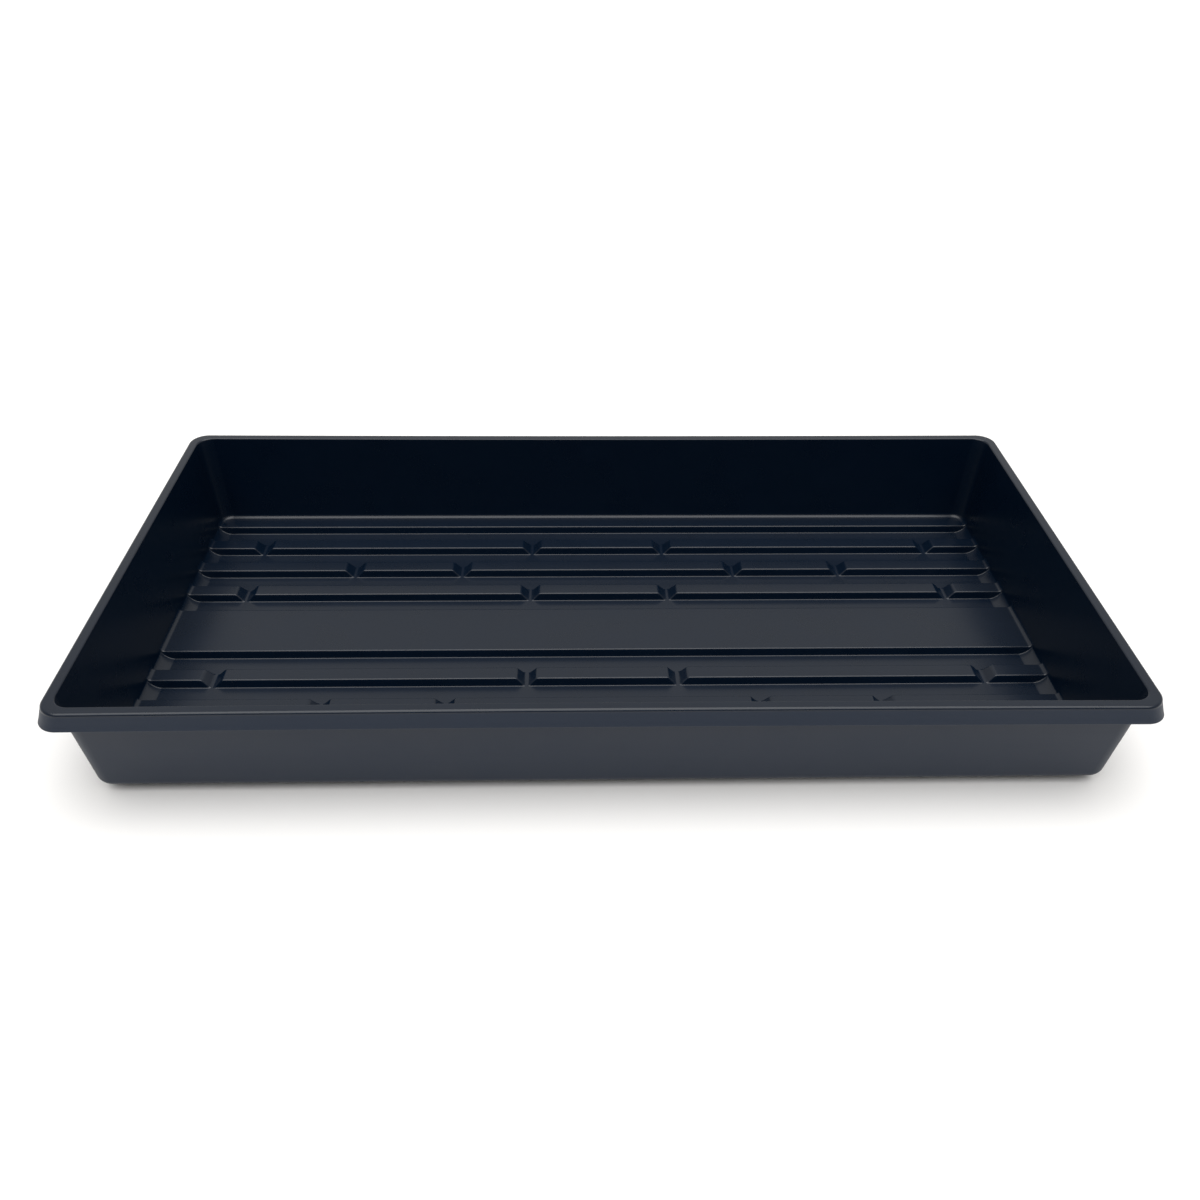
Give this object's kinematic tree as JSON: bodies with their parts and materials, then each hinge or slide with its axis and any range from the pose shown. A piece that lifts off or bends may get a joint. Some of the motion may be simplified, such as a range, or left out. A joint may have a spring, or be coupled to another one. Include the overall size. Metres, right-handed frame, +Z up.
{
  "type": "seedling tray",
  "caption": "Shallow rectangular seedling tray moulded in one piece, with leaning walls, a flat rim with a hanging skirt, and a grooved floor without drain holes.",
  "frame": {"origin": "middle of the footprint, in the plane that the undersides of the floor channels stand on", "axes": "+X along the tray's length, +Y across it, +Z up out of the open basin"},
  "size_m": [0.544, 0.284, 0.064],
  "materials": {
    "black_polypropylene": "satin"
  },
  "bodies": {
    "root": {"tray": "black_polypropylene"}
  },
  "joints": []
}
